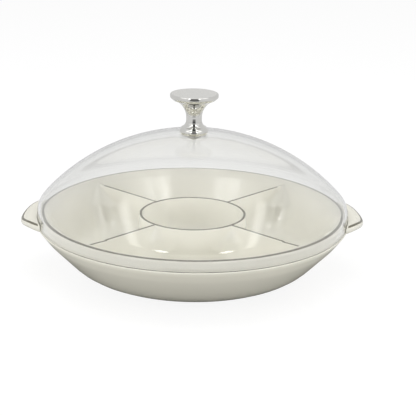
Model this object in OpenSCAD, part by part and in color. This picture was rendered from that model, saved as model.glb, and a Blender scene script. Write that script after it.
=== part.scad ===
// Covered serving tray: a round divided dish with two lug handles, and a clear dome cover with a turned knob.
// The origin is the centre of the foot, on the surface that the dish stands on. X runs along the handles.

/* [Rim and ledge] */
// Diameter of the rim, measured along the middle of its rounded crest
rim_d = 260; // [250:1:268]
// Thickness of the wall at the rim
rim_t = 4.2; // [3.4:0.1:5]
// Height of the rim above the table
rim_h = 57.5; // [54:0.5:62]
// How far the ledge that carries the cover lies below the rim
ledge_drop = 8.3; // [7:0.1:10]
// How far the ledge stands out past the cover
ledge_lip = 0.4; // [0.2:0.1:1]

/* [Bowl] */
// Height of the floor of the compartments
floor_h = 9.6; // [8.5:0.1:11]
// Radius at which the line of the side meets the floor
floor_r = 98; // [95:0.5:100]
// Radius of the curve between the floor and the side
floor_curve = 26; // [20:1:28]
// Width of the flared lip inside the rim
lip_w = 4.8; // [4:0.1:6]
// Depth of the flared lip inside the rim
lip_depth = 6; // [5:0.1:7]
// Radius of the heel, where the underside turns up into the side
heel_r = 103; // [102:0.5:105]
// Height of the heel
heel_h = 11.5; // [10:0.5:12]
// Radius of the belly, the fullest part of the side
belly_r = 128; // [127:0.5:129.5]
// How far the belly lies below the ledge
belly_drop = 11.2; // [9:0.1:13]

/* [Foot] */
// Outer diameter of the foot ring
foot_d = 148; // [140:1:152]
// Width of the foot ring
foot_w = 6.5; // [5:0.5:9]
// Depth of the recess inside the foot ring
foot_recess = 4; // [2:0.5:4.5]

/* [Ring and dividers] */
// Diameter of the ring round the middle compartment, along its crest
ring_d = 90.8; // [80:0.2:100]
// How far the crest of the ring lies below the rim
crest_drop = 4.3; // [3:0.1:8]
// Thickness of the ring and the dividers at their crests
crest_t = 2.8; // [2.2:0.1:3.6]
// Thickness of the ring and the dividers at the floor
wall_base_t = 7; // [5:0.5:9]
// Radius of the curve between these walls and the floor
wall_fillet = 6; // [3:0.5:8]
// Number of dividers
divider_count = 4; // [3:1:6]
// How far the crests of the dividers lie below the crest of the ring
divider_dip = 0.3; // [0.2:0.1:1]

/* [Lug handles] */
// How far each handle stands out past the rim's crest
lug_out = 20; // [16:0.5:24]
// Radius of the handle's outline, seen from above
lug_r = 50; // [44:1:56]
// How far the handle's top lies below the rim
lug_drop = 3.5; // [2.5:0.1:4.5]
// How far the handle's top droops at its tip
lug_droop = 6.6; // [4:0.2:8]
// Length of the drooping part of the handle's top, measured in from its tip
droop_run = 15; // [10:0.5:18]
// Thickness of the handle at its edge
lug_t = 6.4; // [5:0.1:7]
// Extra thickness of the handle where it joins the body
lug_root = 3; // [2:0.5:4]
// Depth of the web under the middle of the handle
lug_web = 5; // [3:0.5:6]

/* [Cover] */
// Thickness of the cover's wall
cover_t = 2.5; // [2:0.1:3]
// Height of the cover's crown above its lower edge
cover_h = 75.8; // [65:0.2:85]
// Height of the straight band above the lower edge
band_h = 14; // [12:0.5:18]
// Radius of the curve between the band and the dome
shoulder_curve = 14; // [10:1:16]
// Gap between the rim and the cover's band
cover_gap = 0.5; // [0.3:0.1:0.8]
// Gap between the cover's band and the inner face of each handle
lug_gap = 0.8; // [0.5:0.1:1.2]

/* [Knob] */
// Height of the knob
knob_h = 35; // [30:0.5:40]
// Diameter of the knob's top
knob_d = 41.4; // [36:0.2:46]
// Thickness of the knob's top at its edge
knob_top_t = 3.8; // [3:0.1:5]
// Diameter of the knob's neck
neck_d = 13.5; // [12:0.1:15]
// Height of the middle of the neck above the knob's base
neck_h = 14.6; // [14:0.2:16]
// Length of the straight part of the neck
neck_straight = 2; // [1:0.2:2.6]
// Diameter of the bead round the knob's base
bead_d = 25; // [24:0.2:26]
// Height of the bead
bead_h = 5.2; // [4.6:0.1:5.6]

/* [Screw and washer] */
// Diameter of the screw's shank
screw_d = 4; // [3:0.5:5]
// Length of the screw's thread inside the knob
screw_in_knob = 9; // [7:0.5:10]
// Diameter of the screw's head
head_d = 8; // [7:0.5:9]
// Height of the screw's head
head_h = 2.6; // [2:0.1:3]
// Diameter of the washer
washer_d = 13; // [11:0.5:16]
// Thickness of the washer
washer_t = 1; // [0.6:0.1:1.6]
// Gap round the screw's shank in the knob
thread_gap = 0.05; // [0.03:0.01:0.1]
// Gap round the screw's shank in the washer and the cover
shank_gap = 0.4; // [0.2:0.1:0.6]

/* [Hidden] */
$fn = 180;

// Small edge radii, and how far a cutting shape reaches past the face that it cuts
edge = 0.6;
glaze_edge = 1.2;
over = 1;

// Roundings of the crests and of the rim's inner edge, as shares of their thickness
crest_round = 0.48;
rim_inner_round = 0.3;

// Degrees between the points of a rounding: of the curves above this radius, and of the small edges
curve_big = 4;
curve_step = 9;
edge_step = 30;

// Rim and ledge
rim_r = rim_d / 2;
rim_out_r = rim_r + rim_t / 2;
rim_in_r = rim_r - rim_t / 2;
ledge_h = rim_h - ledge_drop;
cover_in_r = rim_out_r + cover_gap;
cover_r = cover_in_r + cover_t;
ledge_r = cover_r + ledge_lip;
ledge_t = 1;
ledge_corner = 0.3;
lip_r = rim_in_r - lip_w;
lip_h = rim_h - lip_depth;
lip_curve = 7;

// Height of the belly, and the curves of the side at its heel and its belly
belly_h = ledge_h - belly_drop;
heel_curve = 40;
belly_curve = 50;

// Ring and dividers
crest_h = rim_h - crest_drop;
divider_h = crest_h - divider_dip;
ring_r = ring_d / 2;
foot_r = foot_d / 2;
divider_bite = 2.5;
skirt_half_w = wall_base_t / 2 + wall_fillet + 2;
skirt_h = floor_h - 1;

// Handles: the outline's centre, and the radii at which the loft starts inside the body
lug_c = rim_r + lug_out - lug_r;
lug_top_h = rim_h - lug_drop;
lug_face_r = cover_r + lug_gap;
lug_tip = lug_c + lug_r;
lug_flat_x = lug_tip - droop_run;
lug_start_r = rim_r - 1.5;
lug_sole_r = rim_r - 7;
droop_power = 2.5;
web_power = 1.6;
lug_half_w = 41;
lug_sections = 18;
lug_top_steps = 7;
lug_nose_steps = 6;

// Cover, measured from its lower edge
seat_r = bead_d / 2 + 0.5;
dome_c = (pow(seat_r, 2) + pow(cover_h, 2) - pow(cover_r, 2) - pow(band_h, 2)) / (2 * (cover_h - band_h));
dome_r = norm([seat_r, cover_h - dome_c]);
crown_h = ledge_h + cover_h;

// Knob: the two hollow curves of its stem, where they end, the bead's bulge and the edges of the top
knob_under = knob_h - knob_top_t;
neck_upper = neck_h + neck_straight / 2;
neck_lower = neck_h - neck_straight / 2;
stem_upper_r = knob_under - edge - neck_upper;
stem_lower_r = neck_lower - bead_h;
stem_upper_end = 107;
stem_lower_end = 248;
bead_bulge_r = bead_h * 0.42;
bead_from = -35;
bead_to = 60;
bead_heel_r = bead_d / 2 - 0.9;
knob_edge = 1.25;

// Screw: the crossed slots in its head
slot_w = 1;
slot_l = head_d * 0.6;
slot_depth = head_h * 0.6;

// Points round one corner of an outline. A corner is [x, y, radius of the rounding].
function unit(v) = v / norm(v);
function wrap(a) = a > 180 ? a - 360 : a < -180 ? a + 360 : a;
function corner_arc(a, b, c) =
    let (p = [b.x, b.y])
    let (u = unit([a.x, a.y] - p))
    let (w = unit([c.x, c.y] - p))
    let (half = acos(max(-1, min(1, u * w))) / 2)
    b.z == 0 || half > 89.5 ? [p] :
    let (mid = p + unit(u + w) * b.z / sin(half))
    let (start = p + u * b.z / tan(half) - mid)
    let (end = p + w * b.z / tan(half) - mid)
    let (from = atan2(start.y, start.x))
    let (turn = wrap(atan2(end.y, end.x) - from))
    let (steps = max(2, ceil(abs(turn) / (b.z > curve_big ? curve_step : edge_step))))
    [for (i = [0:steps]) mid + b.z * [cos(from + turn * i / steps), sin(from + turn * i / steps)]];
function rounded(corners) =
    let (n = len(corners))
    [for (i = [0:n - 1]) each corner_arc(corners[(i + n - 1) % n], corners[i], corners[(i + 1) % n])];

// Points along a circular arc, both ends included
function arc(centre, radius, from, to, steps) =
    [for (i = [0:steps]) centre + radius * [cos(from + (to - from) * i / steps),
                                            sin(from + (to - from) * i / steps)]];

// Outside of the dish, from the foot up to the middle of the rim
outside = [
    [foot_r - foot_w, 0, glaze_edge],
    [foot_r, 0, glaze_edge],
    [heel_r, heel_h, heel_curve],
    [belly_r, belly_h, belly_curve],
    [ledge_r, ledge_h - ledge_t, 0],
    [ledge_r, ledge_h, edge],
    [rim_out_r, ledge_h, ledge_corner],
    [rim_out_r, rim_h, rim_t * crest_round],
];

// Inside of the dish, from the rim down to the floor, over the ring and to the middle
inside = [
    [rim_in_r, rim_h, rim_t * rim_inner_round],
    [lip_r, lip_h, lip_curve],
    [floor_r, floor_h, floor_curve],
    [ring_r + wall_base_t / 2, floor_h, wall_fillet],
    [ring_r + crest_t / 2, crest_h, crest_t * crest_round],
    [ring_r - crest_t / 2, crest_h, crest_t * crest_round],
    [ring_r - wall_base_t / 2, floor_h, wall_fillet],
    [0, floor_h, 0],
];

divider_outline = [
    [-skirt_half_w, skirt_h, 0],
    [skirt_half_w, skirt_h, 0],
    [skirt_half_w, floor_h, 0],
    [wall_base_t / 2, floor_h, wall_fillet],
    [crest_t / 2, divider_h, crest_t * crest_round],
    [-crest_t / 2, divider_h, crest_t * crest_round],
    [-wall_base_t / 2, floor_h, wall_fillet],
    [-skirt_half_w, floor_h, 0],
];

module bowl() {
    rotate_extrude()
        polygon(rounded(concat([[0, foot_recess, 0], [foot_r - foot_w, foot_recess, glaze_edge]], outside, inside)));
}

// Everything inside the outer face of the bowl, to trim the dividers where they run into its wall
module bowl_envelope() {
    rotate_extrude()
        polygon(rounded(concat([[0, foot_recess, 0], [foot_r - foot_w, foot_recess, glaze_edge]], outside,
                               [[rim_r, rim_h, 0], [0, rim_h, 0]])));
}

module dividers() {
    for (i = [0:divider_count - 1])
        rotate([0, 0, (i + 0.5) * 360 / divider_count])
            translate([ring_r, 0, 0])
                rotate([90, 0, 90])
                    linear_extrude(lip_r + divider_bite - ring_r)
                        polygon(rounded(divider_outline));
}

// Outline of a handle from above, its top, and how far its web reaches at a distance y from the middle
function lug_edge(y) = lug_c + sqrt(pow(lug_r, 2) - y * y);
function lug_top(x) = lug_top_h - lug_droop * pow(max(0, (x - lug_flat_x) / (lug_tip - lug_flat_x)), droop_power);
function lug_web_share(y) = pow(cos(90 * y / lug_half_w), 2);
function on_circle(r, y) = sqrt(r * r - y * y);

// One section of a handle, from its root over the top, round the nose and back along the underside
function lug_section(y) =
    let (nose_r = lug_t / 2)
    let (nose_x = lug_edge(y) - nose_r)
    let (start_x = on_circle(lug_start_r, y))
    let (sole_x = on_circle(lug_sole_r, y))
    let (deep = lug_root + lug_web * lug_web_share(y))
    concat(
        [for (i = [0:lug_top_steps - 1])
            let (x = start_x + (nose_x - start_x) * i / lug_top_steps)
            [x, y, lug_top(x)]],
        [for (i = [0:lug_nose_steps])
            let (a = 90 - 180 * i / lug_nose_steps)
            [nose_x + nose_r * cos(a), y, lug_top(nose_x) - nose_r + nose_r * sin(a)]],
        [for (i = [lug_top_steps - 1:-1:0])
            let (s = i / lug_top_steps)
            let (x = sole_x + (nose_x - sole_x) * s)
            [x, y, lug_top(x) - lug_t - deep * pow(1 - s, web_power)]]
    );

module lug_loft() {
    rows = [for (j = [0:lug_sections]) lug_section(lug_half_w * sin(-90 + 180 * j / lug_sections))];
    n = len(rows[0]);
    last = lug_sections * n;
    sides = [for (j = [0:lug_sections - 1]) for (i = [0:n - 1])
        let (k = (i + 1) % n)
        each [[j * n + i, (j + 1) * n + i, (j + 1) * n + k], [j * n + i, (j + 1) * n + k, j * n + k]]];
    first_cap = [for (i = [0:n - 1]) i];
    last_cap = [for (i = [n - 1:-1:0]) last + i];
    polyhedron(points = [for (r = rows) each r], faces = concat(sides, [first_cap, last_cap]), convexity = 4);
}

// A handle with the room for the cover's band cut away above the ledge
module lug() {
    difference() {
        lug_loft();
        translate([0, 0, ledge_h]) cylinder(r = lug_face_r, h = rim_h);
    }
}

module dish() {
    color([0.89, 0.88, 0.82])
    union() {
        bowl();
        intersection() {
            dividers();
            bowl_envelope();
        }
        lug();
        rotate([0, 0, 180]) lug();
    }
}

// Outside of the cover from its lower edge to the crown, shifted inwards by the wall for its inside
function cover_skin(shift) =
    let (r = cover_r - shift)
    let (ball = dome_r - shift)
    let (bend = shoulder_curve - shift)
    let (bend_x = r - bend)
    let (bend_y = dome_c + sqrt(pow(ball - bend, 2) - bend_x * bend_x))
    let (bend_to = atan2(bend_y - dome_c, bend_x))
    let (crown = cover_h - shift)
    let (crown_at = acos(sqrt(ball * ball - pow(crown - dome_c, 2)) / ball))
    concat(arc([bend_x, bend_y], bend, 0, bend_to, 8),
           [for (p = arc([0, dome_c], ball, bend_to, crown_at, 24)) if (p.y > bend_y) p]);

module dome_cover() {
    outer = cover_skin(0);
    inner = cover_skin(cover_t);
    color([0.86, 0.88, 0.9, 0.35])
    translate([0, 0, ledge_h])
    difference() {
        rotate_extrude()
            polygon(concat(
                corner_arc([cover_in_r, 0, 0], [cover_r, 0, edge], [cover_r, band_h, 0]),
                outer,
                [[0, cover_h], [0, cover_h - cover_t]],
                [for (i = [len(inner) - 1:-1:0]) inner[i]],
                corner_arc([cover_in_r, band_h, 0], [cover_in_r, 0, edge], [cover_r, 0, 0])));
        translate([0, 0, cover_h - 2 * cover_t]) cylinder(d = screw_d + 2 * shank_gap, h = 3 * cover_t);
    }
}

module knob() {
    neck_r = neck_d / 2;
    top_r = knob_d / 2;
    color("silver")
    translate([0, 0, crown_h])
    difference() {
        rotate_extrude()
            polygon(concat(
                [[0, 0]],
                corner_arc([0, 0, 0], [bead_heel_r, 0, edge], [bead_d / 2, bead_h / 2, 0]),
                arc([bead_d / 2 - bead_bulge_r, bead_h / 2], bead_bulge_r, bead_from, bead_to, 6),
                arc([neck_r + stem_lower_r, neck_lower], stem_lower_r, stem_lower_end, 180, 10),
                arc([neck_r + stem_upper_r, neck_upper], stem_upper_r, 180, stem_upper_end, 12),
                corner_arc([neck_r, knob_under - over, 0], [top_r, knob_under, knob_edge], [top_r, knob_h, 0]),
                corner_arc([top_r, knob_under, 0], [top_r, knob_h, knob_edge], [0, knob_h, 0]),
                [[0, knob_h]]));
        translate([0, 0, -over]) cylinder(d = screw_d + 2 * thread_gap, h = screw_in_knob + 3 * over);
    }
}

module knob_screw() {
    shank = washer_t + cover_t + screw_in_knob;
    color("lightgray")
    translate([0, 0, crown_h - cover_t - washer_t])
    difference() {
        union() {
            cylinder(d = screw_d, h = shank);
            translate([0, 0, -head_h])
                rotate_extrude()
                    polygon(rounded([[0, 0, 0], [head_d / 2, 0, slot_depth], [head_d / 2, head_h, 0], [0, head_h, 0]]));
        }
        for (a = [0, 90])
            rotate([0, 0, a])
                translate([-slot_l / 2, -slot_w / 2, -head_h - over]) cube([slot_l, slot_w, slot_depth + over]);
    }
}

module screw_washer() {
    color("gainsboro")
    translate([0, 0, crown_h - cover_t - washer_t])
    difference() {
        cylinder(d = washer_d, h = washer_t);
        translate([0, 0, -over]) cylinder(d = screw_d + 2 * shank_gap, h = washer_t + 2 * over);
    }
}

dish();
dome_cover();
knob();
knob_screw();
screw_washer();
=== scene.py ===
import bpy, bmesh
import numpy as np
from math import radians, degrees, sin, cos, tan, asin, acos, atan2, pi, sqrt, hypot, ceil
from mathutils import Vector, Matrix, Quaternion


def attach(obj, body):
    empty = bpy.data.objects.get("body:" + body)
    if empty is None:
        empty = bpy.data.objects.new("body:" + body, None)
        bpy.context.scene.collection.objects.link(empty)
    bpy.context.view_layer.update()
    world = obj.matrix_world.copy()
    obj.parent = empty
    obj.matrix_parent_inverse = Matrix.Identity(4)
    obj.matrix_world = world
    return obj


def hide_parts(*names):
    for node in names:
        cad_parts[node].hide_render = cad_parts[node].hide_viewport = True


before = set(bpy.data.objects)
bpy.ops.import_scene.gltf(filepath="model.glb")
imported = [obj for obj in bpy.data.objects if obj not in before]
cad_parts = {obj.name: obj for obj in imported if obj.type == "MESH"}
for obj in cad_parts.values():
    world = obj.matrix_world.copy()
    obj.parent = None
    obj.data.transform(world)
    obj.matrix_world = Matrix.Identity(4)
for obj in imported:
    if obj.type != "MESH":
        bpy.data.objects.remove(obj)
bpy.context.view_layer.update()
scene = bpy.context.scene
mm = 0.001


def linkMesh(name, mesh):
    piece = bpy.data.objects.new(name, mesh)
    scene.collection.objects.link(piece)
    return piece


def cornerArc(a, b, c, step=9):
    # Points round the corner b = (x, y, radius) between its neighbours a and c
    p, u, w = np.array(b[:2], float), np.array(a[:2], float), np.array(c[:2], float)
    u, w = (u - p) / np.linalg.norm(u - p), (w - p) / np.linalg.norm(w - p)
    half = acos(max(-1.0, min(1.0, float(u @ w)))) / 2
    if len(b) < 3 or b[2] == 0 or half > radians(89.5):
        return [p]
    mid = p + (u + w) / np.linalg.norm(u + w) * b[2] / sin(half)
    start, end = p + u * b[2] / tan(half) - mid, p + w * b[2] / tan(half) - mid
    first = atan2(start[1], start[0])
    turn = (atan2(end[1], end[0]) - first + pi) % (2 * pi) - pi
    steps = max(3, ceil(abs(degrees(turn)) / step))
    angles = [first + turn * i / steps for i in range(steps + 1)]
    return [mid + b[2] * np.array([cos(a), sin(a)]) for a in angles]


def roundedPath(corners, step=9):
    path = [np.array(corners[0][:2], float)]
    for a, b, c in zip(corners, corners[1:], corners[2:]):
        path += cornerArc(a, b, c, step)
    return np.array(path + [np.array(corners[-1][:2], float)])


def fillPath(path, gap):
    # The same path with more points, so that none are further apart than gap
    out = [path[0]]
    for a, b in zip(path, path[1:]):
        n = max(1, ceil(np.linalg.norm(b - a) / gap - 1e-6))
        out += [a + (b - a) * (i + 1) / n for i in range(n)]
    return np.array(out)


def signedDistance(points, outline):
    # Distance and its direction from points (n, 2) to a closed outline, negative inside
    a, b = outline, np.roll(outline, -1, axis=0)
    keep = np.linalg.norm(b - a, axis=1) > 1e-9
    a, b = a[keep], b[keep]
    dist, grad = np.empty(len(points)), np.empty((len(points), 2))
    for s in range(0, len(points), 4000):
        p = points[s:s + 4000, None, :]
        e = (b - a)[None]
        w = p - a[None]
        t = np.clip((w * e).sum(2) / (e * e).sum(2), 0, 1)
        d = w - e * t[..., None]
        q = (d * d).sum(2)
        k = q.argmin(1)
        rows = np.arange(len(k))
        near = d[rows, k]
        r = np.sqrt(q[rows, k])
        up = (a[None, :, 1] <= p[..., 1]) != (b[None, :, 1] <= p[..., 1])
        with np.errstate(divide="ignore", invalid="ignore"):
            x = a[None, :, 0] + (p[..., 1] - a[None, :, 1]) / e[..., 1] * e[..., 0]
        inside = (up & (p[..., 0] < x)).sum(1) % 2 == 1
        sign = np.where(inside, -1.0, 1.0)
        dist[s:s + 4000] = sign * r
        grad[s:s + 4000] = sign[:, None] * near / np.maximum(r, 1e-9)[:, None]
    return dist, grad


def roundMin(a, b, gradA, gradB, radius):
    # Joins two solids' distances with a hollow curve of the given radius
    u, v = np.maximum(radius - a, 0), np.maximum(radius - b, 0)
    size = np.hypot(u, v)
    dist = np.maximum(radius, np.minimum(a, b)) - size
    plain = np.where((a < b)[:, None], gradA, gradB)
    mixed = (u[:, None] * gradA + v[:, None] * gradB) / np.maximum(size, 1e-9)[:, None]
    grad = np.where((np.minimum(a, b) > radius)[:, None] | (size < 1e-9)[:, None], plain, mixed)
    return dist, grad / np.maximum(np.linalg.norm(grad, axis=1), 1e-9)[:, None]


# Sizes in millimetres, as in the CAD dish
dish = {
    "rimRadius": 130, "rimThick": 4.2, "rimHeight": 57.5, "ledgeHeight": 49.2, "ledgeRadius": 135.5,
    "footRadius": 74, "footWidth": 6.5, "footRecess": 4, "heel": (103, 11.5, 40), "belly": (128, 38, 50),
    "floorHeight": 9.6, "floorRadius": 98, "floorCurve": 26, "lipWidth": 4.8, "lipDepth": 6, "lipCurve": 7,
    "ringRadius": 45.4, "crestHeight": 53.2, "crestThick": 2.8, "crestRound": 0.96, "baseThick": 7, "fillet": 24,
    "cornerWeb": 18, "dividers": 4, "rowGap": 2.9, "columnGap": 3.6,
}


def bowlOutlines(d, ring=True):
    half = d["rimThick"] / 2
    rimOut, rimIn = d["rimRadius"] + half, d["rimRadius"] - half
    rim, ledge, floorZ, footIn = d["rimHeight"], d["ledgeHeight"], d["floorHeight"], d["footRadius"] - d["footWidth"]
    outside = [(0, d["footRecess"]), (footIn, d["footRecess"], 1.2), (footIn, 0, 1.2), (d["footRadius"], 0, 1.2),
               d["heel"], d["belly"], (d["ledgeRadius"], ledge - 1, 0), (d["ledgeRadius"], ledge, 0.6),
               (rimOut, ledge, 0.3), (rimOut, rim, half * 0.96), (d["rimRadius"], rim)]
    inside = [(d["rimRadius"], rim), (rimIn, rim, d["rimThick"] * 0.3),
              (rimIn - d["lipWidth"], rim - d["lipDepth"], d["lipCurve"]), (d["floorRadius"], floorZ, d["floorCurve"])]
    if ring:
        r, base, top, crest = d["ringRadius"], d["baseThick"] / 2, d["crestThick"] / 2, d["crestHeight"]
        soft = top * d["crestRound"]
        inside += [(r + base, floorZ, d["fillet"]), (r + top, crest, soft), (r - top, crest, soft),
                   (r - base, floorZ, d["fillet"])]
    inside.append((0, floorZ))
    return roundedPath(outside), roundedPath(inside)


def dividerHalf(d):
    # Half of a wall's section, from the middle of its crest down to the floor: distance from the middle, height
    top, base = d["crestThick"] / 2, d["baseThick"] / 2
    return roundedPath([(0, d["crestHeight"]), (top, d["crestHeight"], top * d["crestRound"]),
                        (base, d["floorHeight"], d["fillet"]), (30, d["floorHeight"])])


def wallDistance(x, y, z, d):
    # Plan distance to the middle lines of the ring and the dividers, joined by webs that grow towards the floor
    r = np.maximum(np.hypot(x, y), 1e-6)
    radial = np.stack([x / r, y / r], 1)
    toRing = np.abs(r - d["ringRadius"])
    gradRing = radial * np.sign(r - d["ringRadius"])[:, None]
    step = 2 * pi / d["dividers"]
    turn = (np.floor(np.arctan2(y, x) / step) + 0.5) * step
    along = x * np.cos(turn) + y * np.sin(turn)
    across = -x * np.sin(turn) + y * np.cos(turn)
    short = np.minimum(along - d["ringRadius"], 0)
    toWall = np.hypot(across, short)
    gradLocal = np.stack([short, across], 1) / np.maximum(toWall, 1e-9)[:, None]
    gradWall = np.stack([gradLocal[:, 0] * np.cos(turn) - gradLocal[:, 1] * np.sin(turn),
                         gradLocal[:, 0] * np.sin(turn) + gradLocal[:, 1] * np.cos(turn)], 1)
    web = np.clip((d["crestHeight"] - z) * 1.5, 1.2, d["cornerWeb"])
    s, g = roundMin(toRing, toWall, gradRing, gradWall, web)
    within = r < d["ringRadius"]                            # the dividers stay outside the ring
    return np.where(within, toRing, np.maximum(s, 0)), np.where(within[:, None], gradRing, g)


def insideDistance(p, d, bowl, wall):
    # Distance of points (n, 3) to the dish's inside, with every inner corner rounded
    r = np.maximum(np.hypot(p[:, 0], p[:, 1]), 1e-6)
    a, g = signedDistance(np.stack([r, p[:, 2]], 1), bowl)
    gradA = np.stack([g[:, 0] * p[:, 0] / r, g[:, 0] * p[:, 1] / r, g[:, 1]], 1)
    s, gs = wallDistance(p[:, 0], p[:, 1], p[:, 2], d)
    b, g = signedDistance(np.stack([s, p[:, 2]], 1), wall)
    gradB = np.stack([g[:, 0] * gs[:, 0], g[:, 0] * gs[:, 1], g[:, 1]], 1)
    join = np.clip((d["crestHeight"] + 1 - p[:, 2]) * 1.5, 1.5, d["fillet"])
    return roundMin(a, b, gradA, gradB, join)


def buildDishBody(d):
    outside, inside = bowlOutlines(d)
    outside, inside = fillPath(outside, 3 * d["rowGap"]), fillPath(inside, d["rowGap"])
    rows = np.concatenate([outside[1:], inside[1:-1]])      # without the two points on the axis
    insideFrom = len(outside) - 1
    sector = 2 * pi / d["dividers"]
    section = fillPath(dividerHalf(d), 2.6)
    near = section[section[:, 0] < 15]
    far = max(4, ceil((d["rimRadius"] * sector / 2 - 15) / d["columnGap"]))
    # A column: distance from the divider's middle line, share of the rest of the sector, height of the wall there
    columns = [(q[0], 0.0, q[1]) for q in near]
    columns += [(near[-1][0], i / far, d["floorHeight"]) for i in range(1, far + 1)]
    angles = []
    for row in rows:
        r = max(row[0], 24.0)
        side = [asin(min(0.7, c[0] / r)) for c in columns]
        side = [a + (sector / 2 - a) * c[1] for a, c in zip(side, columns)]
        around = []
        for turn in range(d["dividers"]):
            mid = (turn + 0.5) * sector
            around += [mid + a for a in side[:-1]] + [mid + sector - a for a in reversed(side[1:])]
        angles.append(around)
    height = [c[2] for c in columns]
    wallTop = (height[:-1] + height[:0:-1]) * d["dividers"]
    angles = np.array(angles)
    count = angles.shape[1]
    z = np.repeat(rows[:, 1][:, None], count, 1)
    inRows = np.arange(len(rows)) >= insideFrom
    overWall = inRows & (rows[:, 0] > d["ringRadius"])
    z[overWall] = np.maximum(z[overWall], np.array(wallTop)[None, :])
    lip = np.where((rows[:, 0] > d["rimRadius"] - d["rimThick"] / 2 - d["lipWidth"]) & inRows)[0]
    z[lip] = rows[lip, 1][:, None]
    radius = rows[:, 0][:, None]
    verts = np.stack([radius * np.cos(angles), radius * np.sin(angles), z], 2).reshape(-1, 3)
    bowl = np.concatenate([outside[:-1], bowlOutlines(d, ring=False)[1]])
    top, base, under = d["crestThick"] / 2, d["baseThick"] / 2, d["floorHeight"] - 4
    wall = roundedPath([(-40, d["crestHeight"]), (top, d["crestHeight"], top * d["crestRound"]),
                        (base, d["floorHeight"]), (base + 0.3, under), (-40, under)])
    moving = np.repeat(inRows & (np.arange(len(rows)) > insideFrom + 2), count)
    p = verts[moving]
    for _ in range(12):
        dist, grad = insideDistance(p, d, bowl, wall)
        p = p - grad * np.clip(dist, -2, 2)[:, None]
    verts[moving] = p
    bottom, middle = len(verts), len(verts) + 1
    verts = np.concatenate([verts, [[0, 0, outside[0][1]], [0, 0, inside[-1][1]]]])
    faces = []
    for j in range(len(rows) - 1):
        for i in range(count):
            k = (i + 1) % count
            faces.append((j * count + i, j * count + k, (j + 1) * count + k, (j + 1) * count + i))
    last = (len(rows) - 1) * count
    for i in range(count):
        k = (i + 1) % count
        faces.append((bottom, k, i))
        faces.append((last + i, last + k, middle))
    mesh = bpy.data.meshes.new("dishBody")
    mesh.from_pydata((verts * mm).tolist(), [], faces)
    mesh.shade_smooth()
    return mesh


dishBody = linkMesh("dishBody", buildDishBody(dish))
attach(dishBody, "root")
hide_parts("dish")
print("dish: body", len(dishBody.data.polygons))

# Handles, each a loft of sections across it
lug = {"centre": 100, "radius": 50, "top": 54.0, "droop": 6.6, "flatFrom": 135, "thick": 6.4, "root": 3, "web": 5,
       "halfWidth": 41, "startRadius": 128.5, "soleRadius": 123, "faceRadius": 135.6, "sections": 56,
       "topSteps": 18, "noseSteps": 10}


def lugTop(x, g):
    run = np.maximum(0, (x - g["flatFrom"]) / (g["centre"] + g["radius"] - g["flatFrom"]))
    return g["top"] - g["droop"] * run ** 2.5


def buildLug(g, side):
    bm = bmesh.new()
    rows = []
    nose = g["thick"] / 2
    for j in range(g["sections"] + 1):
        y = g["halfWidth"] * sin(-pi / 2 + pi * j / g["sections"])
        noseX = g["centre"] + sqrt(g["radius"] ** 2 - y * y) - nose
        startX, soleX = (sqrt(g[key] ** 2 - y * y) for key in ("startRadius", "soleRadius"))
        deep = g["root"] + g["web"] * cos(pi / 2 * y / g["halfWidth"]) ** 2
        row = []
        for i in range(g["topSteps"]):
            x = startX + (noseX - startX) * i / g["topSteps"]
            row.append((x, y, lugTop(x, g)))
        for i in range(g["noseSteps"] + 1):
            a = pi / 2 - pi * i / g["noseSteps"]
            row.append((noseX + nose * cos(a), y, lugTop(noseX, g) - nose + nose * sin(a)))
        for i in range(g["topSteps"] - 1, -1, -1):
            s = i / g["topSteps"]
            x = soleX + (noseX - soleX) * s
            row.append((x, y, lugTop(x, g) - g["thick"] - deep * (1 - s) ** 1.6))
        rows.append([bm.verts.new((side * v[0] * mm, side * v[1] * mm, v[2] * mm)) for v in row])
    n = len(rows[0])
    for a, b in zip(rows, rows[1:]):
        for i in range(n):
            k = (i + 1) % n
            bm.faces.new((a[i], b[i], b[k], a[k]))
    bm.faces.new(list(reversed(rows[0])))
    bm.faces.new(rows[-1])
    bmesh.ops.recalc_face_normals(bm, faces=bm.faces)
    mesh = bpy.data.meshes.new("lug")
    bm.to_mesh(mesh)
    bm.free()
    return mesh


def cylinderMesh(name, radius, low, high, steps):
    bm = bmesh.new()
    bmesh.ops.create_cone(bm, cap_ends=True, segments=steps, radius1=radius * mm, radius2=radius * mm,
                          depth=(high - low) * mm, matrix=Matrix.Translation((0, 0, (low + high) / 2 * mm)))
    mesh = bpy.data.meshes.new(name)
    bm.to_mesh(mesh)
    bm.free()
    return mesh


def meshOf(piece):
    # The piece with its modifiers, as a plain mesh
    return bpy.data.meshes.new_from_object(piece.evaluated_get(bpy.context.evaluated_depsgraph_get()))


cutter = linkMesh("cutter", cylinderMesh("cutter", lug["faceRadius"], dish["ledgeHeight"] - 0.03, 70, 720))
for name, side in (("lugRight", 1), ("lugLeft", -1)):
    piece = linkMesh(name, buildLug(lug, side))
    cut = piece.modifiers.new("groove", "BOOLEAN")
    cut.operation, cut.object, cut.solver = "DIFFERENCE", cutter, "EXACT"
    solid = meshOf(piece)
    piece.modifiers.remove(cut)
    piece.data = solid
    solid.shade_smooth()
    solid.set_sharp_from_angle(angle=radians(40))
    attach(piece, "root")
    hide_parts("dish")
bpy.data.objects.remove(cutter)
lugs = [bpy.data.objects["lugRight"], bpy.data.objects["lugLeft"]]
print("dish: handles")


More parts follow.
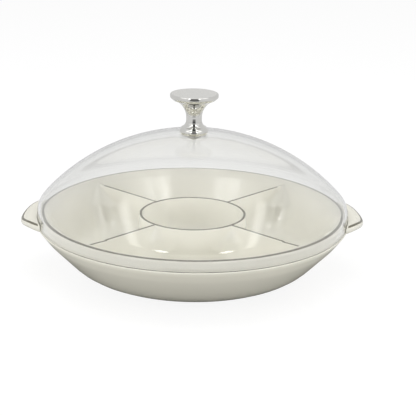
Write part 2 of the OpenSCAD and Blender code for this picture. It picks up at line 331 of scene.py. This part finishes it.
def latheTree():
    # Geometry Nodes: turns a profile (a chain of points in the XZ plane) round Z
    tree = bpy.data.node_groups.new("lathe", "GeometryNodeTree")
    face = tree.interface
    face.new_socket("Geometry", in_out="INPUT", socket_type="NodeSocketGeometry")
    face.new_socket("Steps", in_out="INPUT", socket_type="NodeSocketInt").default_value = 128
    face.new_socket("Material", in_out="INPUT", socket_type="NodeSocketMaterial")
    face.new_socket("Geometry", in_out="OUTPUT", socket_type="NodeSocketGeometry")
    wire = tree.links.new
    first, last = tree.nodes.new("NodeGroupInput"), tree.nodes.new("NodeGroupOutput")

    def maths(kind, a, b):
        node = tree.nodes.new("ShaderNodeMath")
        node.operation = kind
        for value, socket in zip((a, b), node.inputs):
            if isinstance(value, (int, float)):
                socket.default_value = value
            else:
                wire(value, socket)
        return node.outputs[0]

    size = tree.nodes.new("GeometryNodeAttributeDomainSize")
    wire(first.outputs["Geometry"], size.inputs[0])
    grid = tree.nodes.new("GeometryNodeMeshGrid")
    wire(maths("ADD", first.outputs["Steps"], 1), grid.inputs["Vertices X"])
    wire(size.outputs["Point Count"], grid.inputs["Vertices Y"])
    index = tree.nodes.new("GeometryNodeInputIndex").outputs[0]
    row = maths("MODULO", index, size.outputs["Point Count"])              # the grid's points run along Y first
    column = maths("FLOOR", maths("DIVIDE", index, size.outputs["Point Count"]), 0)
    angle = maths("MULTIPLY", maths("DIVIDE", column, first.outputs["Steps"]), 2 * pi)
    take = tree.nodes.new("GeometryNodeSampleIndex")
    take.data_type, take.domain = "FLOAT_VECTOR", "POINT"
    wire(first.outputs["Geometry"], take.inputs["Geometry"])
    wire(tree.nodes.new("GeometryNodeInputPosition").outputs[0], take.inputs["Value"])
    wire(row, take.inputs["Index"])
    spin = tree.nodes.new("ShaderNodeVectorRotate")
    spin.rotation_type = "Z_AXIS"
    wire(take.outputs[0], spin.inputs["Vector"])
    wire(angle, spin.inputs["Angle"])
    move = tree.nodes.new("GeometryNodeSetPosition")
    wire(grid.outputs["Mesh"], move.inputs["Geometry"])
    wire(spin.outputs[0], move.inputs["Position"])
    merge = tree.nodes.new("GeometryNodeMergeByDistance")
    merge.inputs["Distance"].default_value = 1e-6
    smooth = tree.nodes.new("GeometryNodeSetShadeSmooth")
    real = tree.nodes.new("GeometryNodeRealizeInstances")
    paint = tree.nodes.new("GeometryNodeSetMaterial")
    for a, b in ((move, merge), (merge, smooth), (smooth, real), (real, paint), (paint, last)):
        wire(a.outputs[0], b.inputs[0])
    wire(first.outputs["Material"], paint.inputs["Material"])
    return tree


latheNodes = latheTree()


def turned(name, profile, steps, material, sharp=35):
    # profile: points (radius, height) in millimetres along the whole section, from the axis back to the axis
    chain = bpy.data.meshes.new(name)
    chain.from_pydata([(x * mm, 0, z * mm) for x, z in profile], [(i, i + 1) for i in range(len(profile) - 1)], [])
    piece = linkMesh(name, chain)
    spin = piece.modifiers.new("lathe", "NODES")
    spin.node_group = latheNodes
    for item in latheNodes.interface.items_tree:
        if item.in_out == "INPUT" and item.name == "Steps":
            spin[item.identifier] = steps
        if item.in_out == "INPUT" and item.name == "Material":
            spin[item.identifier] = material
    solid = meshOf(piece)
    piece.modifiers.remove(spin)
    piece.data = solid
    bm = bmesh.new()
    bm.from_mesh(solid)
    bmesh.ops.recalc_face_normals(bm, faces=bm.faces)
    bm.to_mesh(solid)
    bm.free()
    solid.shade_smooth()
    solid.set_sharp_from_angle(angle=radians(sharp))
    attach(piece, "root")
    return piece


def material(name):
    m = bpy.data.materials.new(name)
    m.use_nodes = True
    return m, m.node_tree, m.node_tree.nodes["Principled BSDF"]


class NodeMaker:
    # Short calls for maths on sockets
    def __init__(self, tree):
        self.tree = tree

    def wire(self, value, socket):
        if isinstance(value, (int, float, tuple)):
            socket.default_value = value
        else:
            self.tree.links.new(value, socket)

    def split(self, vector):
        n = self.tree.nodes.new("ShaderNodeSeparateXYZ")
        self.wire(vector, n.inputs[0])
        return n.outputs

    def math(self, kind, a, b=None, c=None):
        n = self.tree.nodes.new("ShaderNodeMath")
        n.operation = kind
        for value, socket in zip((a, b, c), n.inputs):
            if value is not None:
                self.wire(value, socket)
        return n.outputs[0]

    def times(self, a, b):
        return self.math("MULTIPLY", a, b)

    def plus(self, a, b):
        return self.math("ADD", a, b)

    def step(self, value, low, high):
        n = self.tree.nodes.new("ShaderNodeMapRange")
        n.interpolation_type = "SMOOTHSTEP"
        self.wire(value, n.inputs["Value"])
        n.inputs["From Min"].default_value, n.inputs["From Max"].default_value = low, high
        return n.outputs["Result"]

    def fall(self, value, low, high):
        return self.math("SUBTRACT", 1.0, self.step(value, low, high))

    def length(self, a, b):
        return self.math("SQRT", self.plus(self.times(a, a), self.times(b, b)))

    def band(self, value, centre, half, soft):
        # 1 within half of the centre, falling to 0 over soft
        away = self.math("ABSOLUTE", self.math("SUBTRACT", value, centre))
        return self.fall(away, half - soft / 2, half + soft / 2)

    def noise(self, vector, scale, detail=2, rough=0.5):
        n = self.tree.nodes.new("ShaderNodeTexNoise")
        for value, name in ((vector, "Vector"), (scale, "Scale"), (detail, "Detail"), (rough, "Roughness")):
            self.wire(value, n.inputs[name])
        return n.outputs["Fac"]

    def bump(self, height, strength, distance, shader):
        n = self.tree.nodes.new("ShaderNodeBump")
        for value, name in ((height, "Height"), (strength, "Strength"), (distance, "Distance")):
            self.wire(value, n.inputs[name])
        self.wire(n.outputs[0], shader.inputs["Normal"])

    def mixColor(self, share, a, b):
        n = self.tree.nodes.new("ShaderNodeMix")
        n.data_type = "RGBA"
        self.wire(share, n.inputs["Factor"])
        self.wire(a, n.inputs["A"])
        self.wire(b, n.inputs["B"])
        return n.outputs["Result"]


glaze = {
    # low is painted light: a lighter glaze low in the compartments
    "color": (0.84, 0.825, 0.745, 1), "pooled": (0.81, 0.79, 0.7, 1), "low": (0.93, 0.915, 0.84, 1),
    # outside is painted shade for faces turned down; lugs is painted shade for the handles' tops
    "outside": (0.8, 0.78, 0.675, 1), "lugs": (0.765, 0.745, 0.65, 1), "foot": (0.72, 0.69, 0.6, 1), "roughness": 0.16,
    "silver": (0.25, 0.235, 0.185, 1), "silverRoughness": 0.3, "rimLine": 1.1, "ringLine": 1.1, "dividerLine": 1.0,
    "dividerEnd": 119, "backShorter": 3, "lugLine": 0.9, "lugLineRadius": 48.45, "lugLineFrom": 136.4,
}


def porcelainMaterial(g, d):
    m, tree, shader = material("creamPorcelain")
    k = NodeMaker(tree)
    place = tree.nodes.new("ShaderNodeTexCoord").outputs["Object"]
    x, y, z = (k.times(o, 1000.0) for o in k.split(place))      # millimetres
    r = k.length(x, y)
    facing = k.split(tree.nodes.new("ShaderNodeNewGeometry").outputs["Normal"])[2]
    crest = k.step(z, d["crestHeight"] - 1.6, d["crestHeight"] - 1.1)
    rim = k.times(k.band(r, d["rimRadius"] - 0.1, g["rimLine"], 0.3),
                 k.step(z, d["rimHeight"] - 1.6, d["rimHeight"] - 1.2))
    ring = k.times(k.band(r, d["ringRadius"], g["ringLine"], 0.3), crest)
    ax, ay = k.math("ABSOLUTE", x), k.math("ABSOLUTE", y)
    # Distance from the nearer of the lines that the dividers follow; the two painted lines at the back end earlier
    across = k.times(k.math("SUBTRACT", ax, ay), sqrt(0.5))
    reach = k.plus(r, k.times(k.step(y, -10, 10), g["backShorter"]))
    span = k.times(k.step(r, d["ringRadius"] - 0.5, d["ringRadius"]),
                  k.fall(reach, g["dividerEnd"] - 0.6, g["dividerEnd"]))
    divider = k.times(k.times(k.band(across, 0.0, g["dividerLine"], 0.3), span), crest)
    fromLug = k.length(k.math("SUBTRACT", ax, float(lug["centre"])), y)
    lugEdge = k.times(k.band(fromLug, g["lugLineRadius"], g["lugLine"], 0.4), k.step(facing, 0.2, 0.35))
    lugEdge = k.times(lugEdge, k.step(r, g["lugLineFrom"], g["lugLineFrom"] + 0.5))
    paint = k.math("MAXIMUM", k.math("MAXIMUM", rim, ring), k.math("MAXIMUM", divider, lugEdge))
    thin = k.step(k.noise(place, 260, 3), 0.25, 0.5)                      # the brushed paint is thin in places
    paint = k.times(paint, k.plus(0.72, k.times(thin, 0.28)))
    base = k.mixColor(k.times(k.step(k.noise(place, 14, 3), 0.35, 0.75), 0.5), g["color"], g["pooled"])
    base = k.mixColor(k.times(k.fall(z, 18, 42), 0.85), base, g["low"])      # painted light: lighter low down in the compartments
    # Painted shade: faces turned down take the darker outside colour
    base = k.mixColor(k.step(k.times(facing, -1.0), 0.05, 0.3), base, g["outside"])
    # Painted shade: the upturned tops of the handles take the darker lugs colour
    base = k.mixColor(k.times(k.step(r, 133, 134), k.step(facing, 0.1, 0.4)), base, g["lugs"])
    foot = k.fall(z, 0.35, 0.6)                                           # the ground face is unglazed
    base = k.mixColor(foot, base, g["foot"])
    speck = k.times(k.step(k.noise(place, 420, 2), 0.74, 0.78), 0.12)
    base = k.mixColor(speck, base, g["foot"])
    k.wire(k.mixColor(paint, base, g["silver"]), shader.inputs["Base Color"])
    k.wire(paint, shader.inputs["Metallic"])
    rough = k.plus(g["roughness"] - 0.03, k.times(k.noise(place, 60, 4), 0.06))
    rough = k.plus(rough, k.times(paint, g["silverRoughness"] - g["roughness"]))
    k.wire(k.plus(rough, k.times(foot, 0.5)), shader.inputs["Roughness"])
    k.bump(k.noise(place, 34, 2), 0.05, 0.0004, shader)
    shader.inputs["IOR"].default_value = 1.5
    return m


porcelain = porcelainMaterial(glaze, dish)
for piece in [dishBody] + lugs:
    piece.data.materials.clear()
    piece.data.materials.append(porcelain)

clear = {"color": (0.952, 0.952, 0.942, 1), "cast": (0.94, 0.942, 0.936, 1), "shadow": (0.98, 0.98, 0.98, 1)}


def acrylicMaterial(g):
    m, tree, shader = material("clearAcrylic")
    k = NodeMaker(tree)
    place = tree.nodes.new("ShaderNodeTexCoord").outputs["Object"]
    # A slow drift of the colour from the moulding, and faint rubbing marks
    k.wire(k.mixColor(k.noise(place, 9, 2), g["color"], g["cast"]), shader.inputs["Base Color"])
    k.wire(k.times(k.step(k.noise(place, 640, 3), 0.6, 0.8), 0.02), shader.inputs["Roughness"])
    k.bump(k.noise(place, 11, 1), 0.01, 0.0006, shader)
    shader.inputs["Transmission Weight"].default_value = 1
    shader.inputs["IOR"].default_value = 1.49
    lit = tree.nodes.new("ShaderNodeBsdfTransparent")
    lit.inputs["Color"].default_value = g["shadow"]
    mix = tree.nodes.new("ShaderNodeMixShader")
    k.wire(tree.nodes.new("ShaderNodeLightPath").outputs["Is Shadow Ray"], mix.inputs[0])
    k.wire(shader.outputs[0], mix.inputs[1])
    k.wire(lit.outputs[0], mix.inputs[2])
    k.wire(mix.outputs[0], tree.nodes["Material Output"].inputs["Surface"])
    return m


metals = {
    "mirrorMetal": {"color": (0.77, 0.765, 0.74, 1), "dull": (0.72, 0.715, 0.685, 1), "top": (0.87, 0.865, 0.83, 1),
                    "rough": (0.012, 0.03), "satin": 0.24, "wave": (30, 0.005)},
    "platedScrew": {"color": (0.7, 0.7, 0.68, 1), "dull": (0.58, 0.58, 0.55, 1), "top": (0.7, 0.7, 0.68, 1),
                    "rough": (0.14, 0.16), "satin": 0.0, "wave": (420, 0.12)},
}


def metalMaterial(name, g):
    m, tree, shader = material(name)
    k = NodeMaker(tree)
    place = tree.nodes.new("ShaderNodeTexCoord").outputs["Object"]
    x, y, z = k.split(place)
    # The knob's flat top is satin, and its colour is painted lighter: painted light against the dark it mirrors
    flat = k.times(k.step(z, 0.1597, 0.1599), k.fall(k.length(x, y), 0.0185, 0.0195))
    base = k.mixColor(k.step(k.noise(place, 90, 4), 0.4, 0.75), g["color"], g["dull"])
    k.wire(k.mixColor(flat, base, g["top"]), shader.inputs["Base Color"])
    rough = k.plus(g["rough"][0], k.times(k.noise(place, 380, 4), g["rough"][1]))
    k.wire(k.plus(rough, k.times(flat, g["satin"])), shader.inputs["Roughness"])
    k.bump(k.noise(place, g["wave"][0], 2), g["wave"][1], 0.0004, shader)
    shader.inputs["Metallic"].default_value = 1
    return m


def washerMaterial():
    m, tree, shader = material("washerNylon")
    k = NodeMaker(tree)
    place = tree.nodes.new("ShaderNodeTexCoord").outputs["Object"]
    k.wire(k.mixColor(k.noise(place, 130, 3), (0.8, 0.8, 0.78, 1), (0.7, 0.71, 0.69, 1)), shader.inputs["Base Color"])
    k.wire(k.plus(0.36, k.times(k.noise(place, 500, 3), 0.2)), shader.inputs["Roughness"])
    k.bump(k.noise(place, 700, 2), 0.15, 0.0002, shader)
    return m


acrylic = acrylicMaterial(clear)
steel, plated = (metalMaterial(name, g) for name, g in metals.items())
nylon = washerMaterial()

cover = {"outerRadius": 135.1, "thick": 2.5, "height": 75.8, "band": 14, "shoulder": 14, "seat": 13.0, "base": 49.2,
         "hole": 2.4}


def coverProfile(c):
    r, h = c["outerRadius"], c["height"]
    ballZ = (c["seat"] ** 2 + h ** 2 - r ** 2 - c["band"] ** 2) / (2 * (h - c["band"]))
    ball = hypot(c["seat"], h - ballZ)

    def skin(shift, low):
        bend = c["shoulder"] - shift
        bendX = r - shift - bend
        bendZ = ballZ + sqrt((ball - shift - bend) ** 2 - bendX ** 2)
        bendTo = atan2(bendZ - ballZ, bendX)
        points = [(bendX + bend * cos(a), bendZ + bend * sin(a)) for a in np.linspace(0, bendTo, 14)]
        topR = c["seat"] + 1.5
        top = acos(topR / (ball - shift))
        dome = ball - shift
        points += [(dome * cos(a), ballZ + dome * sin(a)) for a in np.linspace(bendTo, top, 46)[1:]]
        points += [(x, h - shift) for x in (c["seat"] - 1, 8, 5, c["hole"])]
        return [(r - shift, low)] + points
    inner = r - c["thick"]
    edge = [(inner, 0.55), (inner + 0.16, 0.16), (inner + 0.55, 0), (r - 0.55, 0), (r - 0.16, 0.16), (r, 0.55)]
    outer = skin(0, 4)
    inside = skin(c["thick"], 4)
    profile = edge[3:] + outer + list(reversed(inside)) + edge[:3]
    profile.append(edge[3])
    return [(x, z + c["base"]) for x, z in profile]


coverPiece = turned("domeCover", coverProfile(cover), 288, acrylic)
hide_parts("dome_cover")

knob = {"base": 125.0, "height": 35, "radius": 20.7, "top": 3.8, "neck": 6.75, "neckHeight": 12.8, "straight": 2,
        "bead": 12.5, "beadHeight": 5.2, "edge": 1.25}


def arcPoints(cx, cz, r, first, last, steps):
    return [(cx + r * cos(radians(a)), cz + r * sin(radians(a))) for a in np.linspace(first, last, steps)]


def knobProfile(k):
    under = k["height"] - k["top"]
    up, low = k["neckHeight"] + k["straight"] / 2, k["neckHeight"] - k["straight"] / 2
    upR, lowR = under - 0.6 - up, low - k["beadHeight"]
    bulge = k["beadHeight"] * 0.42
    p = [(0, 9.5), (2.05, 9.5), (2.05, 0.0), (11.6 - 0.5, 0.0), (11.6, 0.25)]
    p += arcPoints(k["bead"] - bulge, k["beadHeight"] / 2, bulge, -35, 60, 14)
    p += arcPoints(k["neck"] + lowR, low, lowR, 248, 180, 20)
    p += arcPoints(k["neck"] + upR, up, upR, 180, 107, 26)
    lowEdge, topEdge = (k["radius"], under, k["edge"]), (k["radius"], k["height"], k["edge"])
    p += [tuple(q) for q in cornerArc((k["neck"], under - 1), lowEdge, topEdge, 10)]
    p += [tuple(q) for q in cornerArc(lowEdge, topEdge, (0, k["height"]), 10)]
    p += [(x, k["height"]) for x in (16, 12, 8, 4, 0)]
    return [(x, z + k["base"]) for x, z in p]


knobPiece = turned("turnedKnob", knobProfile(knob), 192, steel)
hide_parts("knob")
for node, paint in (("knob_screw", plated), ("screw_washer", nylon)):
    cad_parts[node].data.materials.clear()
    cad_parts[node].data.materials.append(paint)
print("cover, knob, screw and washer")

view = {"distance": 1.0, "target": (0, 0, 0.055), "elevation": 18.28, "turn": 1.4, "roll": 0.85, "focal": 1140,
        "shift": (0.0369, 0.0066)}
world = bpy.data.worlds.new("studio")
scene.world = world
world.use_nodes = True
studio = {"fill": 0.42, "behind": 2.0, "wall": 0.72, "softbox": 0.95, "overhead": 1.15, "strip": 1.9, "corner": 10.0,
          "gap": 0.03, "gapLift": 0.6, "gapSide": 0.32, "gapSoft": 0.14, "paper": 0.16, "bounce": 0.64,
          "floorSeen": 0.88, "floorBehind": 0.25, "floorMirrored": 0.58}


def rayKinds(k):
    path = k.tree.nodes.new("ShaderNodeLightPath").outputs
    return path["Is Camera Ray"], path["Is Transmission Ray"], path["Is Glossy Ray"]


def studioGap(k, x, y, z, g):
    # 0 in the dark gap on the camera's side, between the two soft boxes and below the one overhead
    ahead = k.math("MAXIMUM", k.times(y, -1.0), 0.001)
    aside = k.math("DIVIDE", k.math("ABSOLUTE", x), ahead)
    return k.math("MAXIMUM", k.step(aside, g["gapSide"], g["gapSide"] + g["gapSoft"]), k.step(z, 0.86, 0.95))


k = NodeMaker(world.node_tree)
cameraRay, clearRay, mirrorRay = rayKinds(k)
x, y, z = k.split(k.tree.nodes.new("ShaderNodeTexCoord").outputs["Generated"])
boxes = k.times(k.step(k.times(y, -1.0), 0.1, 0.4), k.step(z, 0.1, 0.4))
mirrored = k.plus(studio["wall"], k.times(boxes, studio["softbox"] - studio["wall"]))
mirrored = k.math("MAXIMUM", mirrored, k.times(k.step(z, 0.55, 0.95), studio["overhead"]))
lifted = k.math("MAXIMUM", studio["gap"], k.times(k.band(z, 0.33, 0.13, 0.1), studio["gapLift"]))
mirrored = k.times(mirrored, k.math("MAXIMUM", studioGap(k, x, y, z, studio), lifted))
aside = k.math("DIVIDE", k.math("ABSOLUTE", x), k.math("MAXIMUM", z, 0.05))
along = k.math("DIVIDE", y, k.math("MAXIMUM", z, 0.05))
# A long box on each side, and a small one in each front corner
strip = k.times(k.band(aside, 0.6, 0.05, 0.08), k.band(along, -0.1, 0.4, 0.25))
corner = k.times(k.band(aside, 0.52, 0.08, 0.05), k.band(along, -1.05, 0.2, 0.12))
for box, name in ((strip, "strip"), (corner, "corner")):
    mirrored = k.plus(mirrored, k.times(box, studio[name]))
level = studio["fill"]
for ray, seen in ((cameraRay, 1.0), (clearRay, studio["behind"]), (mirrorRay, mirrored)):
    level = k.plus(level, k.times(ray, k.math("SUBTRACT", seen, level)))
k.wire(level, world.node_tree.nodes["Background"].inputs["Strength"])
world.node_tree.nodes["Background"].inputs["Color"].default_value = (1, 1, 1, 1)

floorMesh = bpy.data.meshes.new("floor")
floorMesh.from_pydata([(-6, -6, 0), (6, -6, 0), (6, 6, 0), (-6, 6, 0)], [], [(0, 1, 2, 3)])
floor = linkMesh("floor", floorMesh)
paper, tree, shader = material("paper")
shader.inputs["Roughness"].default_value = 0.9
shader.inputs["Specular IOR Level"].default_value = 0
shader.inputs["Emission Color"].default_value = (1, 1, 1, 1)
k = NodeMaker(tree)
cameraRay, clearRay, mirrorRay = rayKinds(k)
bounceRay = tree.nodes.new("ShaderNodeLightPath").outputs["Is Diffuse Ray"]
x, y, z = k.split(tree.nodes.new("ShaderNodeTexCoord").outputs["Object"])
near, away = k.fall(k.times(y, -1.0), 0.4, 0.6), k.length(x, y)
# Painted shadow: the floor's colour for bounced light is darker under the dish
paintedFloorShadow = k.times(bounceRay, k.plus(0.35, k.times(k.step(away, 0.07, 0.17), 0.65)))
dark, light = ((studio[name],) * 3 + (1,) for name in ("paper", "bounce"))
k.wire(k.mixColor(paintedFloorShadow, dark, light), shader.inputs["Base Color"])
# Painted shadow as well: the floor seen in reflections is darker near the dish
mirrored = k.times(k.math("MAXIMUM", studioGap(k, x, y, 0.0, studio), near), k.step(away, 0.1, 0.24))
glow = k.plus(k.times(cameraRay, studio["floorSeen"]), k.times(clearRay, studio["floorBehind"]))
shine = k.times(k.times(mirrorRay, mirrored), studio["floorMirrored"])
k.wire(k.plus(glow, shine), shader.inputs["Emission Strength"])
floorMesh.materials.append(paper)


def softLamp(name, place, aim, size, power, shine=None):
    data = bpy.data.lights.new(name, "AREA")
    data.shape, data.size, data.size_y, data.energy = "RECTANGLE", size[0], size[1], power
    lamp = bpy.data.objects.new(name, data)
    scene.collection.objects.link(lamp)
    lamp.location = place
    lamp.visible_glossy = shine is not None
    if shine:
        lamp.light_linking.receiver_collection = shine
        data.diffuse_factor, data.cycles.use_multiple_importance_sampling = 0, False
    lamp.visible_camera = lamp.visible_transmission = False
    lamp.rotation_euler = (Vector(aim) - Vector(place)).to_track_quat("-Z", "Y").to_euler()
    return lamp


softLamp("overhead", (0, -0.1, 1.5), (0, 0, 0), (1.6, 1.2), 13.4)
glazed = bpy.data.collections.new("glazed")
for piece in [dishBody] + lugs:
    glazed.objects.link(piece)
for name, side in (("Left", -1), ("Right", 1)):
    softLamp("front" + name, (side * 1.6, -0.95, 0.5), (0, 0, 0.03), (1.4, 0.6), 12)
    # Only the glaze mirrors these small boxes
    softLamp("shine" + name, (side * 0.76, -0.73, 0.98), (0, 0, 0.03), (0.2, 0.34), 1.1, glazed)

camData = bpy.data.cameras.new("camera")
camera = bpy.data.objects.new("camera", camData)
scene.collection.objects.link(camera)
up, turn = radians(view["elevation"]), radians(view["turn"])
direction = Vector((-sin(turn) * cos(up), -cos(turn) * cos(up), sin(up)))
camera.location = Vector(view["target"]) + direction * view["distance"]
look = (-direction).to_track_quat("-Z", "Y")
camera.rotation_euler = (look @ Quaternion((0, 0, 1), radians(view["roll"]))).to_euler()
camData.sensor_width, camData.lens = 36, 36 * view["focal"] / 416
camData.shift_x, camData.shift_y = view["shift"]
camData.clip_start, camData.clip_end = 0.05, 30
scene.camera = camera
scene.view_settings.view_transform = "Standard"
